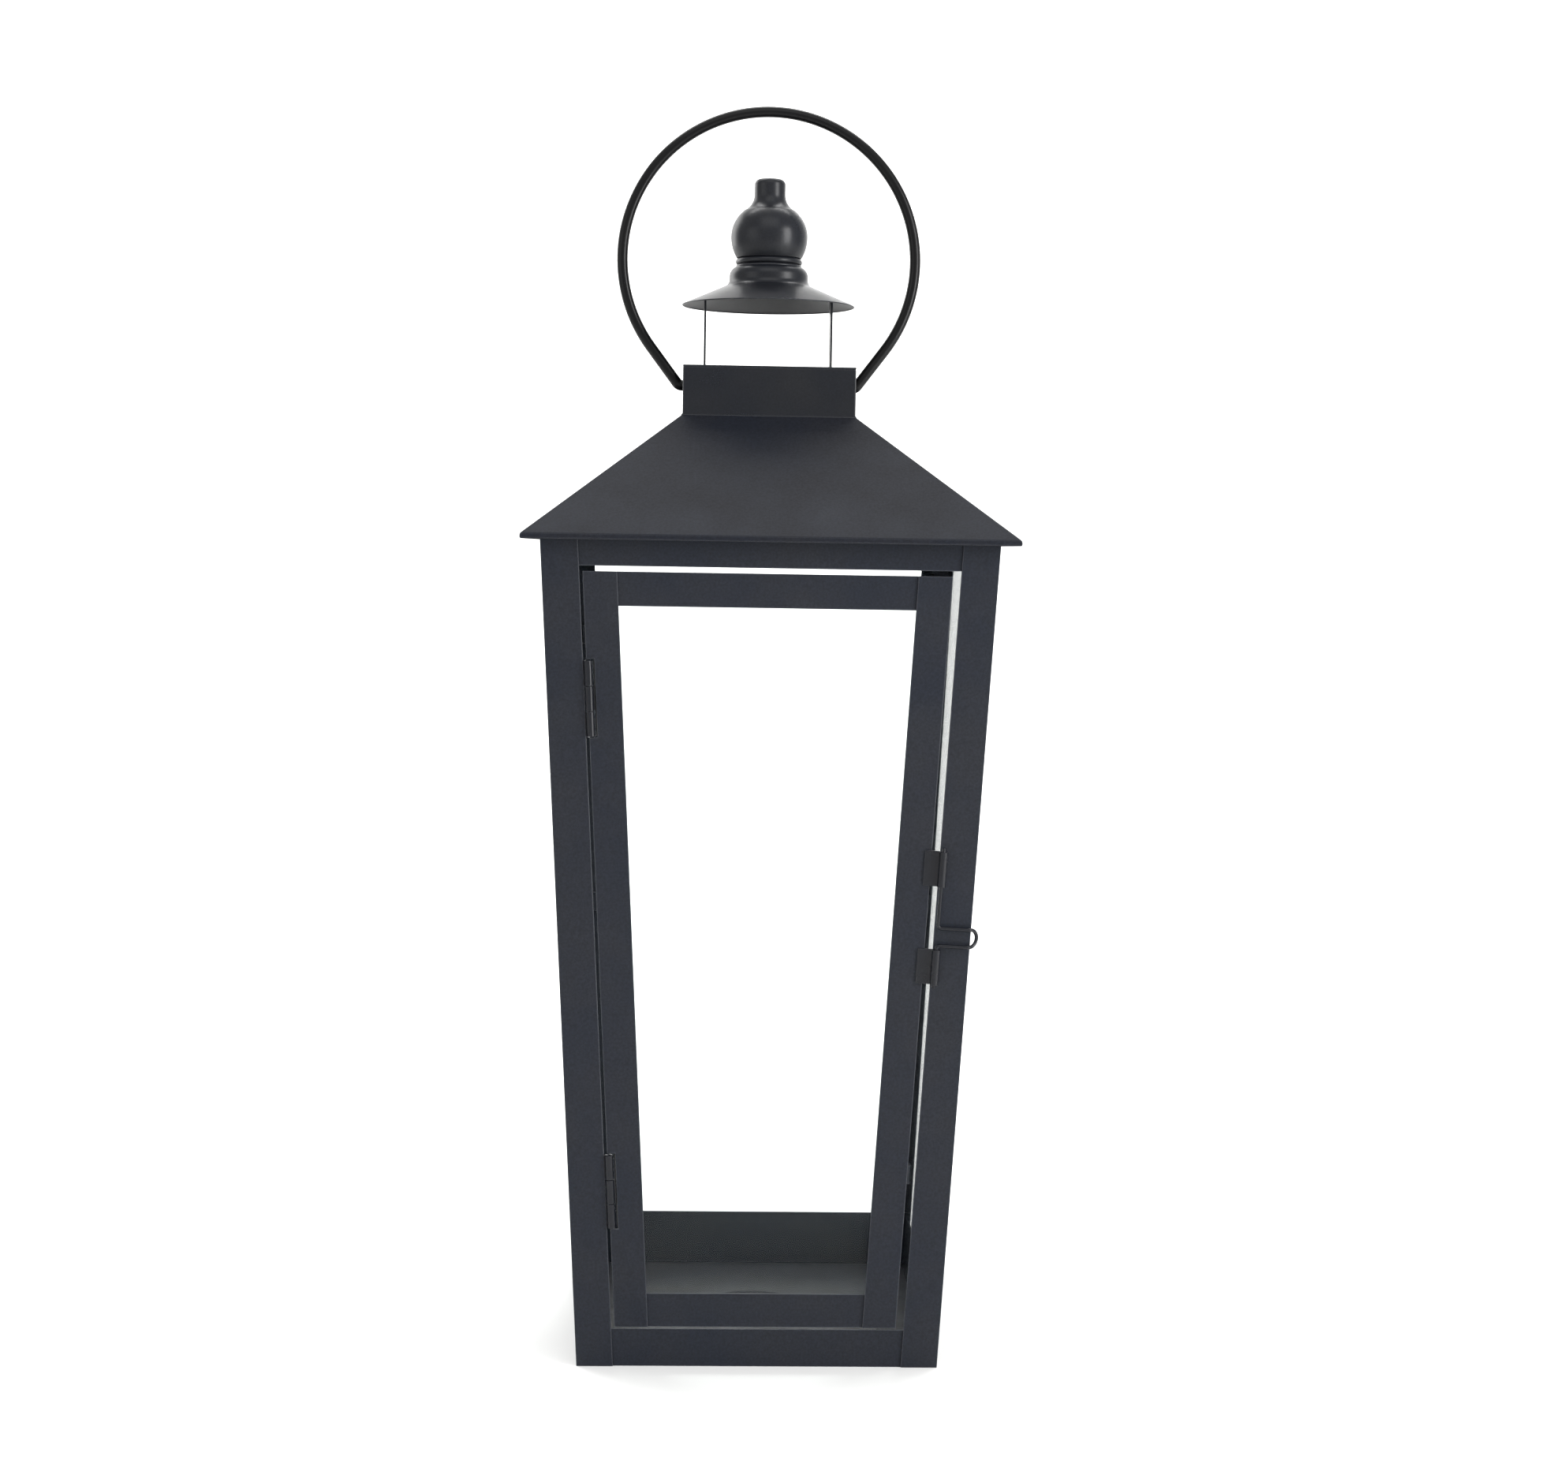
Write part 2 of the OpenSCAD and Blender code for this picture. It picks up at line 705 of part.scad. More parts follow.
floor_plate();
post(180);  // front_left_post
post(270);  // front_right_post
post(90);  // rear_left_post
post(0);  // rear_right_post
header(0, sheet);  // front_header
header(180, sheet);  // rear_header
header(270, 2 * sheet);  // left_header
header(90, 2 * sheet);  // right_header
sill(0, sheet, front_sill_h);  // front_sill
sill(180, sheet, side_sill_h);  // rear_sill
sill(270, 2 * sheet, side_sill_h);  // left_sill
sill(90, 2 * sheet, side_sill_h);  // right_sill
fixed_glass(180);  // rear_glass
fixed_glass(270);  // left_glass
fixed_glass(90);  // right_glass
fixed_glass_clips(180);  // rear_glass_clips
fixed_glass_clips(270);  // left_glass_clips
fixed_glass_clips(90);  // right_glass_clips
roof();
collar();
vent_plate();
cap_strip(-1);  // left_cap_strip
cap_strip(1);  // right_cap_strip
cap_strip_rivets();
cap_skirt();
finial();
finial_bolt();
handle();
door_left_stile();
door_right_stile();
door_rail(door_z1 - top_rail_h, door_z1);  // door_top_rail
door_rail(door_z0, door_z0 + bottom_rail_h);  // door_bottom_rail
door_glass();
door_glass_clips();
hinge_leaf(-1, upper_hinge_z, outer_knuckles);  // upper_hinge_frame_leaf
hinge_leaf(1, upper_hinge_z, middle_knuckle);  // upper_hinge_door_leaf
hinge_pin(upper_hinge_z);  // upper_hinge_pin
hinge_leaf(-1, lower_hinge_z, outer_knuckles);  // lower_hinge_frame_leaf
hinge_leaf(1, lower_hinge_z, middle_knuckle);  // lower_hinge_door_leaf
hinge_pin(lower_hinge_z);  // lower_hinge_pin
latch_lug(lug_space / 2);  // upper_latch_lug
latch_lug(-lug_space / 2 - lug_h);  // lower_latch_lug
latch_hasp();
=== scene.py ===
import bpy
import json
import math
import random
from mathutils import Matrix, Vector


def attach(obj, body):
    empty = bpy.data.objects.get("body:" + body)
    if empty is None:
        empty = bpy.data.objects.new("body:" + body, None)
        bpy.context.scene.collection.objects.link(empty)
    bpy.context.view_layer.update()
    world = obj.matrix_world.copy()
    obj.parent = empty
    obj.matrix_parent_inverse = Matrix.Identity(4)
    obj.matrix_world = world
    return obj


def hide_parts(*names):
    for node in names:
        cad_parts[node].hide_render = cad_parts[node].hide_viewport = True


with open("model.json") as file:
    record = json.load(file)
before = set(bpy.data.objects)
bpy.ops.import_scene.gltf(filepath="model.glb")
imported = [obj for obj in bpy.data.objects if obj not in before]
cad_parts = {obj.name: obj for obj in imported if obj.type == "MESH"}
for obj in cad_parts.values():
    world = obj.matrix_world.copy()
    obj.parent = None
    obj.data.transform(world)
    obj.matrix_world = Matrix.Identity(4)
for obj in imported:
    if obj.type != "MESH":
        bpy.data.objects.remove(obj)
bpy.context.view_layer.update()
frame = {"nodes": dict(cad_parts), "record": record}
nodes = frame["nodes"]
bodies = frame["record"]["behaviour"]["bodies"]
bodyOf = {member: body for body, members in bodies.items() for member in members}
slotOf = {part["node"]: part["material_slot"] for part in frame["record"]["subparts"]}
mm = 0.001
random.seed(7)
print("frame loaded:", len(nodes), "nodes")


# camera: its place in metres, its angles in degrees, lens and sensor in mm
view = {"side": -0.0385, "distance": 1.332, "height": 0.3912, "pitch": 3.89, "yaw": -2.14, "roll": 0.93,
        "lens": 60.77, "sensor": 36, "near": 0.01}


def addCamera():
    data = bpy.data.cameras.new("camera")
    data.lens = view["lens"]
    data.sensor_width = view["sensor"]
    data.clip_start = view["near"]
    camera = bpy.data.objects.new("camera", data)
    bpy.context.scene.collection.objects.link(camera)
    place = Matrix.Translation((view["side"], -view["distance"], view["height"]))
    turn = Matrix.Rotation(math.radians(view["yaw"]), 4, "Z")
    tilt = Matrix.Rotation(math.radians(90 - view["pitch"]), 4, "X")
    roll = Matrix.Rotation(math.radians(view["roll"]), 4, "Z")
    camera.matrix_world = place @ turn @ tilt @ roll
    bpy.context.scene.camera = camera


def linearColour(hexText):
    parts = [int(hexText[i:i + 2], 16) / 255 for i in (1, 3, 5)]
    return tuple(c / 12.92 if c <= 0.04045 else ((c + 0.055) / 1.055) ** 2.4 for c in parts) + (1,)


def dimmed(colour, share):
    return tuple(c * share for c in colour[:3]) + (1,)


# one node: settings by name, sockets by number, and links as input -> (node, output)
def addNode(tree, kind, links=None, sockets=None, **settings):
    made = tree.nodes.new(kind)
    for key, value in settings.items():
        if key in made.inputs.keys():
            made.inputs[key].default_value = value
        else:
            setattr(made, key, value)
    for key, value in (sockets or {}).items():
        made.inputs[key].default_value = value
    for key, (source, output) in (links or {}).items():
        tree.links.new(source.outputs[output], made.inputs[key])
    return made


def newMaterial(name):
    material = bpy.data.materials.new(name)
    material.use_nodes = True
    material.node_tree.nodes.clear()
    return material, material.node_tree


# floor in metres: how far it runs, and the bend that takes it up into a wall
studio = {"paint": "#f6f6f5", "rough": 0.9, "reach": 3.2, "rise": 3.0, "back": 1.6, "bend": 0.8, "steps": 12}


def addFloor():
    material, tree = newMaterial("matteStudioPaint")
    shader = addNode(tree, "ShaderNodeBsdfPrincipled", Roughness=studio["rough"],
                     **{"Base Color": linearColour(studio["paint"])})
    addNode(tree, "ShaderNodeOutputMaterial", {"Surface": (shader, "BSDF")})
    outline = [(-studio["reach"], 0.0), (studio["back"], 0.0)]
    for step in range(1, studio["steps"] + 1):
        angle = math.radians(90 * step / studio["steps"])
        outline.append((studio["back"] + studio["bend"] * math.sin(angle),
                        studio["bend"] * (1 - math.cos(angle))))
    outline.append((studio["back"] + studio["bend"], studio["rise"]))
    points, faces = [], []
    for y, z in outline:
        points += [(-studio["reach"], y, z), (studio["reach"], y, z)]
    for i in range(len(outline) - 1):
        faces.append((2 * i, 2 * i + 1, 2 * i + 3, 2 * i + 2))
    mesh = bpy.data.meshes.new("floor")
    mesh.from_pydata(points, [], faces)
    mesh.materials.append(material)
    mesh.shade_smooth()
    floor = bpy.data.objects.new("floor", mesh)
    bpy.context.scene.collection.objects.link(floor)


# soft boxes: place, aim, width and height in metres, power in watts
lamps = {
    "keySoftbox": {"at": (1.3, -0.95, 0.64), "aim": (0, 0, 0.4), "wide": 0.6, "tall": 1.24, "power": 24},
    "fillSoftbox": {"at": (-1.7, -1.3, 0.8), "aim": (0, 0, 0.35), "wide": 1.2, "tall": 1.2, "power": 5},
    "topSoftbox": {"at": (0.0, -1.3, 1.9), "aim": (0, 0, 0.2), "wide": 1.6, "tall": 1.2, "power": 8},
    "rimSoftbox": {"at": (-1.2, 1.1, 0.9), "aim": (0, 0, 0.4), "wide": 0.7, "tall": 1.2, "power": 7},
    "wallSoftbox": {"at": (0.0, 0.7, 2.3), "aim": (0, 2.3, 0.5), "wide": 2.4, "tall": 0.8, "power": 70},
}
room = {"strength": 0.8}


def addLight():
    for name, lamp in lamps.items():
        data = bpy.data.lights.new(name, "AREA")
        data.shape = "RECTANGLE"
        data.size = lamp["wide"]
        data.size_y = lamp["tall"]
        data.energy = lamp["power"]
        light = bpy.data.objects.new(name, data)
        light.location = lamp["at"]
        toward = Vector(lamp["aim"]) - Vector(lamp["at"])
        light.rotation_euler = toward.to_track_quat("-Z", "Y").to_euler()
        bpy.context.scene.collection.objects.link(light)
    world = bpy.data.worlds.new("softRoom")
    bpy.context.scene.world = world
    world.use_nodes = True
    world.node_tree.nodes.clear()
    sky = addNode(world.node_tree, "ShaderNodeBackground", Color=(1, 1, 1, 1), Strength=room["strength"])
    addNode(world.node_tree, "ShaderNodeOutputWorld", {"Surface": (sky, "Background")})
    bpy.context.scene.view_settings.view_transform = "Standard"


addCamera()
addFloor()
addLight()
print("camera, floor and light set")


# Charcoal powder coat, sprayed on pressed steel and baked: matt, with a fine orange-peel skin, a slightly
# cloudy tone, a painted highlight along its edges and painted shade on its undersides. The real skin is 0.3
# mm; peelMm is coarser so that it shows.
coats = {
    "frame_steel": {"tint": "#1a1d24", "rough": 0.5, "gloss": 0.21, "peelMm": 1.1, "peelDeep": 0.03,
                    "edgeHighlightShare": 0.5, "wave": 0.5, "underShadeAndDry": 0.0},
    "roof_steel": {"tint": "#181a20", "rough": 0.58, "gloss": 0.13, "peelMm": 1.2, "peelDeep": 0.04,
                   "edgeHighlightShare": 0.4, "wave": 1.0, "underShadeAndDry": 0.4},
    "cap_steel": {"tint": "#121419", "rough": 0.32, "gloss": 0.27, "peelMm": 1.0, "peelDeep": 0.025,
                  "edgeHighlightShare": 0.2, "wave": 0.0, "underShadeAndDry": 0.6},
    "ring_steel": {"tint": "#050506", "rough": 0.3, "gloss": 0.2, "peelMm": 0.9, "peelDeep": 0.02,
                   "edgeHighlightShare": 0.15, "wave": 0.0, "underShadeAndDry": 0.0},
    "hardware_steel": {"tint": "#0e1016", "rough": 0.24, "gloss": 0.3, "peelMm": 0.9, "peelDeep": 0.02,
                       "edgeHighlightShare": 0.12, "wave": 0.0, "underShadeAndDry": 0.0},
    "tray_steel": {"tint": "#202125", "rough": 0.5, "gloss": 0.21, "peelMm": 1.1, "peelDeep": 0.02,
                   "edgeHighlightShare": 0.5, "wave": 0.3, "underShadeAndDry": 0.0},
}
# what every coat shares: sizes in mm, the colour of the painted edge highlight, how dark the painted
# underside shade goes, and how far its tone and gloss drift
powder = {"cloudMm": 38, "waveMm": 70, "waveDeep": 0.5, "edgeMm": 0.55, "edge": "#6f7278", "peelBump": 0.3,
          "dark": 0.8, "pale": 1.25, "cool": (0.84, 0.9, 1.0, 1), "warm": (1.16, 1.1, 1.04, 1),
          "drift": 0.06, "underShade": 0.35, "drier": 0.35}


def powderCoatedSteel(slot):
    look = coats[slot]
    material, tree = newMaterial("powderCoatedSteel_" + slot.split("_")[0])
    place = addNode(tree, "ShaderNodeTexCoord")
    # a noise cell is about 1 over its scale, in metres
    peel = addNode(tree, "ShaderNodeTexNoise", {"Vector": (place, "Object")},
                   Scale=1000 / look["peelMm"], Detail=2.0, Roughness=0.55)
    cloud = addNode(tree, "ShaderNodeTexNoise", {"Vector": (place, "Object")},
                    Scale=1000 / powder["cloudMm"], Detail=5.0, Roughness=0.6)
    wave = addNode(tree, "ShaderNodeTexNoise", {"Vector": (place, "Object")},
                   Scale=1000 / powder["waveMm"], Detail=1.0, Roughness=0.4)
    # grains of powder a little darker and paler than the tint
    base = linearColour(look["tint"])
    speck = addNode(tree, "ShaderNodeMapRange", {"Value": (peel, "Fac")},
                    **{"From Min": 0.3, "From Max": 0.7})
    fleck = addNode(tree, "ShaderNodeMix", {"Factor": (speck, "Result")}, data_type="RGBA",
                    sockets={6: dimmed(base, powder["dark"]), 7: dimmed(base, powder["pale"])})
    # the coat drifts between a bluer and a browner grey over a few centimetres
    drift = addNode(tree, "ShaderNodeMapRange", {"Value": (cloud, "Fac")},
                    **{"From Min": 0.35, "From Max": 0.65})
    tone = addNode(tree, "ShaderNodeMix", {"Factor": (drift, "Result")}, data_type="RGBA",
                   sockets={6: powder["cool"], 7: powder["warm"]})
    shade = addNode(tree, "ShaderNodeMix", {6: (fleck, 2), 7: (tone, 2)}, data_type="RGBA",
                    blend_type="MULTIPLY", Factor=1.0)
    # painted shade: surfaces that face down are painted darker, and their roughness is raised as well
    facing = addNode(tree, "ShaderNodeSeparateXYZ", {"Vector": (place, "Normal")})
    under = addNode(tree, "ShaderNodeMapRange", {"Value": (facing, "Z")},
                    **{"From Min": -0.2, "From Max": -0.7, "To Max": look["underShadeAndDry"]})
    underShade = addNode(tree, "ShaderNodeMix", {"Factor": (under, "Result"), 6: (shade, 2)}, data_type="RGBA",
                   blend_type="MULTIPLY", sockets={7: dimmed((1, 1, 1), powder["underShade"])})
    # where the rounded normal leaves the true one there is an edge, and a painted highlight makes its coat
    # paler there
    soft = addNode(tree, "ShaderNodeBevel", samples=4, Radius=powder["edgeMm"] * mm)
    true = addNode(tree, "ShaderNodeNewGeometry")
    match = addNode(tree, "ShaderNodeVectorMath", {0: (soft, "Normal"), 1: (true, "Normal")},
                    operation="DOT_PRODUCT")
    edge = addNode(tree, "ShaderNodeMapRange", {"Value": (match, "Value")},
                   **{"From Min": 0.992, "From Max": 0.88, "To Max": look["edgeHighlightShare"]})
    edgeHighlighted = addNode(tree, "ShaderNodeMix", {"Factor": (edge, "Result"), 6: (underShade, 2)}, data_type="RGBA",
                     sockets={7: linearColour(powder["edge"])})
    sheen = addNode(tree, "ShaderNodeMapRange", {"Value": (cloud, "Fac")},
                    **{"From Min": 0.3, "From Max": 0.7, "To Min": look["rough"] - powder["drift"],
                       "To Max": look["rough"] + powder["drift"]})
    matt = addNode(tree, "ShaderNodeMath", {0: (under, "Result"), 2: (sheen, "Result")},
                   operation="MULTIPLY_ADD", sockets={1: powder["drier"]})
    # thin sheet is never quite flat
    buckle = addNode(tree, "ShaderNodeBump", {"Height": (wave, "Fac")},
                     Strength=look["wave"], Distance=powder["waveDeep"] * mm)
    skin = addNode(tree, "ShaderNodeBump", {"Height": (peel, "Fac"), "Normal": (buckle, "Normal")},
                   Strength=powder["peelBump"], Distance=look["peelDeep"] * mm)
    shader = addNode(tree, "ShaderNodeBsdfPrincipled",
                     {"Roughness": (matt, "Value"), "Normal": (skin, "Normal"), "Base Color": (edgeHighlighted, 2)},
                     **{"Specular IOR Level": look["gloss"]})
    addNode(tree, "ShaderNodeOutputMaterial", {"Surface": (shader, "BSDF")})
    return material


# Float glass, cut and wiped: clear and faintly green, with a thin film of dust in its gloss. Its ior is under
# the 1.5 of real glass, which keeps the room's reflection weak.
pane = {"tint": "#f8fbfa", "clear": "#fafcfb", "rough": 0.0, "film": 0.01, "dustMm": 14, "drawMm": 60,
        "drawDeep": 0.4, "drawBump": 0.06, "ior": 1.18}


def clearSheetGlass():
    material, tree = newMaterial("clearSheetGlass")
    place = addNode(tree, "ShaderNodeTexCoord")
    dust = addNode(tree, "ShaderNodeTexNoise", {"Vector": (place, "Object")},
                   Scale=1000 / pane["dustMm"], Detail=5.0, Roughness=0.6)
    film = addNode(tree, "ShaderNodeMapRange", {"Value": (dust, "Fac")},
                   **{"From Min": 0.45, "From Max": 0.8, "To Min": pane["rough"],
                      "To Max": pane["rough"] + pane["film"]})
    draw = addNode(tree, "ShaderNodeTexNoise", {"Vector": (place, "Object")},
                   Scale=1000 / pane["drawMm"], Detail=0.0)
    ripple = addNode(tree, "ShaderNodeBump", {"Height": (draw, "Fac")},
                     Strength=pane["drawBump"], Distance=pane["drawDeep"] * mm)
    glass = addNode(tree, "ShaderNodeBsdfPrincipled",
                    {"Roughness": (film, "Result"), "Normal": (ripple, "Normal")}, IOR=pane["ior"],
                    **{"Base Color": linearColour(pane["tint"]), "Transmission Weight": 1.0})
    clear = addNode(tree, "ShaderNodeBsdfTransparent", Color=linearColour(pane["clear"]))
    # lamps and scattered light go straight through, as they do through a thin pane
    ray = addNode(tree, "ShaderNodeLightPath")
    passing = addNode(tree, "ShaderNodeMath", {0: (ray, "Is Shadow Ray"), 1: (ray, "Is Diffuse Ray")},
                      operation="MAXIMUM")
    both = addNode(tree, "ShaderNodeMixShader",
                   {0: (passing, "Value"), 1: (glass, "BSDF"), 2: (clear, "BSDF")})
    addNode(tree, "ShaderNodeOutputMaterial", {"Surface": (both, "Shader")})
    return material


finishes = {slot: powderCoatedSteel(slot) for slot in coats}
finishes["glass"] = clearSheetGlass()
print("materials made:", len(finishes))


# pieces are made in millimetres; edges that turn more than sharp degrees stay crisp
def placePiece(name, points, faces, slot, body, replaced=None, sharp=40):
    mesh = bpy.data.meshes.new(name)
    mesh.from_pydata([Vector(p) * mm for p in points], [], faces)
    mesh.validate()
    mesh.materials.append(finishes[slot])
    mesh.shade_smooth()
    mesh.set_sharp_from_angle(angle=math.radians(sharp))
    piece = bpy.data.objects.new(name, mesh)
    bpy.context.scene.collection.objects.link(piece)
    if replaced:
        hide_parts(replaced)
    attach(piece, body)
    return piece


def standFor(node, name, points, faces, sharp=40):
    return placePiece(name, points, faces, slotOf[node], bodyOf[node], node, sharp)


# folded and sheared edges are never knife sharp: bevel widths and weld distance in mm
edges = {"roof": 0.7, "collar": 0.5, "glass": 0.25, "hardware": 0.12, "sheet": 0.28,
         "weld": 0.002, "angle": 28, "rounds": 2}


def softenEdges(piece, width):
    weld = piece.modifiers.new("weld", "WELD")
    weld.merge_threshold = edges["weld"] * mm
    bevel = piece.modifiers.new("bevel", "BEVEL")
    bevel.width = width * mm
    bevel.segments = edges["rounds"]
    bevel.limit_method = "ANGLE"
    bevel.angle_limit = math.radians(edges["angle"])
    bevel.use_clamp_overlap = True


def arc(x, y, radius, start, end, steps):
    turns = [math.radians(start + (end - start) * i / steps) for i in range(steps + 1)]
    return [(x + radius * math.cos(t), y + radius * math.sin(t)) for t in turns]


# turns an outline of (radius, height) round the Z axis; one that starts and ends off the axis is closed
def turned(outline, steps=128):
    onAxis = 0.0001
    points, rings = [], []
    for radius, height in outline:
        if radius < onAxis:
            rings.append([len(points)] * steps)
            points.append((0, 0, height))
        else:
            rings.append(list(range(len(points), len(points) + steps)))
            for i in range(steps):
                turn = 2 * math.pi * i / steps
                points.append((radius * math.cos(turn), radius * math.sin(turn), height))
    closed = outline[0][0] > onAxis
    faces = []
    for k in range(len(rings) if closed else len(rings) - 1):
        low, high = rings[k], rings[(k + 1) % len(rings)]
        for i in range(steps):
            j = (i + 1) % steps
            ring = list(dict.fromkeys((low[i], low[j], high[j], high[i])))
            if len(ring) > 2:
                faces.append(ring)
    return points, faces


# joins rings of equally many points into a skin, with a flat face at each end
def ringed(rings):
    sides = len(rings[0])
    points, faces = [p for ring in rings for p in ring], []
    for k in range(len(rings) - 1):
        for i in range(sides):
            j = (i + 1) % sides
            faces.append((k * sides + i, k * sides + j, (k + 1) * sides + j, (k + 1) * sides + i))
    faces.append(list(range(sides - 1, -1, -1)))
    faces.append(list(range(len(points) - sides, len(points))))
    return points, faces


# a wire's end: how far in from its tip in mm, and the share of its thickness there
wireEnd = [(0.0, 0.72), (0.21, 0.9), (0.36, 1.0)]


# runs a round wire along a path, with softly rounded ends
def wired(path, diameter, sides=20):
    path = [Vector(p) for p in path]
    up = Vector((0.123, 0.97, 0.21))  # any direction that the path never takes
    steps = []
    for i, point in enumerate(path):
        ahead = (path[min(i + 1, len(path) - 1)] - path[max(i - 1, 0)]).normalized()
        up = (up - ahead * up.dot(ahead)).normalized()
        steps.append((point, ahead, up.copy(), diameter / 2))
    first, last = steps[0], steps[-1]
    lead = [(first[0] + first[1] * deep, first[1], first[2], first[3] * share) for deep, share in wireEnd]
    tail = [(last[0] - last[1] * deep, last[1], last[2], last[3] * share)
            for deep, share in reversed(wireEnd)]
    rings = []
    for point, ahead, up, radius in lead + steps[1:-1] + tail:
        side = ahead.cross(up)
        turns = [2 * math.pi * i / sides for i in range(sides)]
        rings.append([point + (up * math.cos(t) + side * math.sin(t)) * radius for t in turns])
    return ringed(rings)


# raises a flat outline of (x, y) from one height to another
def raised(outline, low, high):
    count = len(outline)
    points = [(x, y, low) for x, y in outline] + [(x, y, high) for x, y in outline]
    faces = [(i, (i + 1) % count, (i + 1) % count + count, i + count) for i in range(count)]
    faces += [list(range(count - 1, -1, -1)), list(range(count, 2 * count))]
    return points, faces


def joined(*shapes):
    points, faces = [], []
    for shapePoints, shapeFaces in shapes:
        start = len(points)
        points += [Vector(p) for p in shapePoints]
        faces += [[start + i for i in face] for face in shapeFaces]
    return points, faces


def moved(shape, matrix):
    return [matrix @ Vector(p) for p in shape[0]], shape[1]


# the frame widens from the floor up to its height
taper = {"base": 173, "top": 214, "height": 400}
slant = (taper["top"] - taper["base"]) / 2 / taper["height"]
lean = math.atan(slant)
edgeLean = math.atan(slant * math.cos(lean))


def halfWidth(height):
    return taper["base"] / 2 + slant * height


# axes on a slanting line of the front: x across, y inwards, z along the line
def edgeFrame(side, fromSide, fromFront, height):
    place = Vector((side * (halfWidth(height) - fromSide), fromFront - halfWidth(height), height))
    tilt = Matrix.Rotation(lean, 4, "X") @ Matrix.Rotation(side * edgeLean, 4, "Y")
    return Matrix.Translation(place) @ tilt


# floor tray: a plate with its edges folded down and a round candle seat pressed into it
tray = {"wide": 168.5, "top": 4.6, "foot": 1.0, "sheet": 1, "seat": 55, "deep": 1.2, "inner": 1.1,
        "press": 1.5, "fold": 0.9, "flat": 4, "turn": 0.6, "back": 0.4, "steps": 128}


def squareRing(half, height, steps):
    ring = []
    for i in range(steps):
        turn = 2 * math.pi * i / steps
        reach = half / max(abs(math.cos(turn)), abs(math.sin(turn)))
        ring.append((reach * math.cos(turn), reach * math.sin(turn), height))
    return ring


def roundRing(radius, height, steps):
    turns = [2 * math.pi * i / steps for i in range(steps)]
    return [(radius * math.cos(t), radius * math.sin(t), height) for t in turns]


def makeTray():
    steps, top, sheet, deep = tray["steps"], tray["top"], tray["sheet"], tray["deep"]
    seat, half, fold = tray["seat"] / 2, tray["wide"] / 2, tray["fold"]
    rings = [roundRing(seat - tray["inner"], top - deep, steps)]
    # the press leaves an S between the seat and the plate
    for i in range(1, 9):
        share = i / 8
        radius = seat - tray["inner"] + (tray["inner"] + tray["press"]) * share
        rings.append(roundRing(radius, top - deep * (1 + math.cos(math.pi * share)) / 2, steps))
    rings.append(squareRing(half - fold - tray["flat"], top, steps))
    for reach, height in reversed(arc(half - fold, top - fold, fold, 0, 90, 4)):
        rings.append(squareRing(reach, height, steps))
    rings.append(squareRing(half, tray["foot"], steps))
    # and back along the underside
    rings.append(squareRing(half - sheet, tray["foot"], steps))
    rings.append(squareRing(half - sheet, top - sheet - tray["turn"], steps))
    rings.append(squareRing(half - 2 * sheet, top - sheet, steps))
    rings.append(roundRing(seat + tray["press"] + tray["turn"], top - sheet, steps))
    rings.append(roundRing(seat + tray["back"], top - sheet - deep, steps))
    piece = standFor("floor_plate", "pressedTray", *ringed(rings), sharp=50)
    piece.data.materials[0] = finishes["tray_steel"]  # the frame's coat with a slightly paler tint


makeTray()
print("floor tray made")


# cap: spun from 1 mm sheet, with a flared brim, a cove, a neck and a rounded shoulder
cap = {"at": 512.6, "brim": 86, "slope": 23.6, "neck": 39.2, "high": 19.9, "sheet": 1, "cove": 4,
       "shoulder": 5.2, "crownIn": 2, "crownDrop": 0.9, "easeUp": 0.35, "easeIn": 0.4, "hole": 2.6,
       "hem": 0.3, "hemTurn": 262}


# the line of the cap's section from brim to crown, depth mm inside its outer face
def capLine(depth, steps):
    slope = math.radians(cap["slope"])
    coveX = cap["neck"] / 2 + cap["cove"]
    coveZ = cap["cove"] / math.cos(slope) + (cap["brim"] / 2 - coveX) * math.tan(slope)
    shoulder, crownIn, high = cap["shoulder"], cap["crownIn"], cap["high"]
    shoulderZ = high - cap["crownDrop"] - math.sqrt(shoulder ** 2 - crownIn ** 2)
    crown = cap["neck"] / 2 - shoulder + crownIn
    line = arc(coveX, coveZ, cap["cove"] + depth, 270 - cap["slope"], 180, steps)
    line += arc(coveX - cap["cove"] - shoulder, shoulderZ, shoulder - depth, 0,
                math.degrees(math.acos(crownIn / shoulder)), steps)
    line.append((crown - depth, high - cap["easeUp"] - depth))
    line.append((crown - cap["easeIn"] - depth, high - depth))
    return line + [(cap["hole"], high - depth)]


def makeCap():
    slope, hem, top = math.radians(cap["slope"]), cap["hem"], 90 - cap["slope"]
    middle = (cap["brim"] / 2 - hem, -hem * (1 - math.sin(slope)) / math.cos(slope))
    # the brim is curled under into a hem that touches its own underside
    curl = arc(middle[0], middle[1], hem, top, top - cap["hemTurn"], 18)
    points, faces = turned(list(reversed(capLine(0, 20))) + curl + capLine(cap["sheet"], 16), 160)
    standFor("cap_skirt", "spunCap", [(x, y, z + cap["at"]) for x, y, z in points], faces, sharp=50)


# finial: a bead at the foot, an oval bulb, a hollow sweep and a short round tip
finial = {"at": 532.5, "foot": 15.0, "heel": 0.6, "bead": 1.6, "bulb": 38.2, "bulbAt": 14, "low": 10.45,
          "fall": 19.5, "rise": 17.4, "join": 13, "tip": 15.4, "high": 42.5, "tipHigh": 7.5, "crown": 2.7}


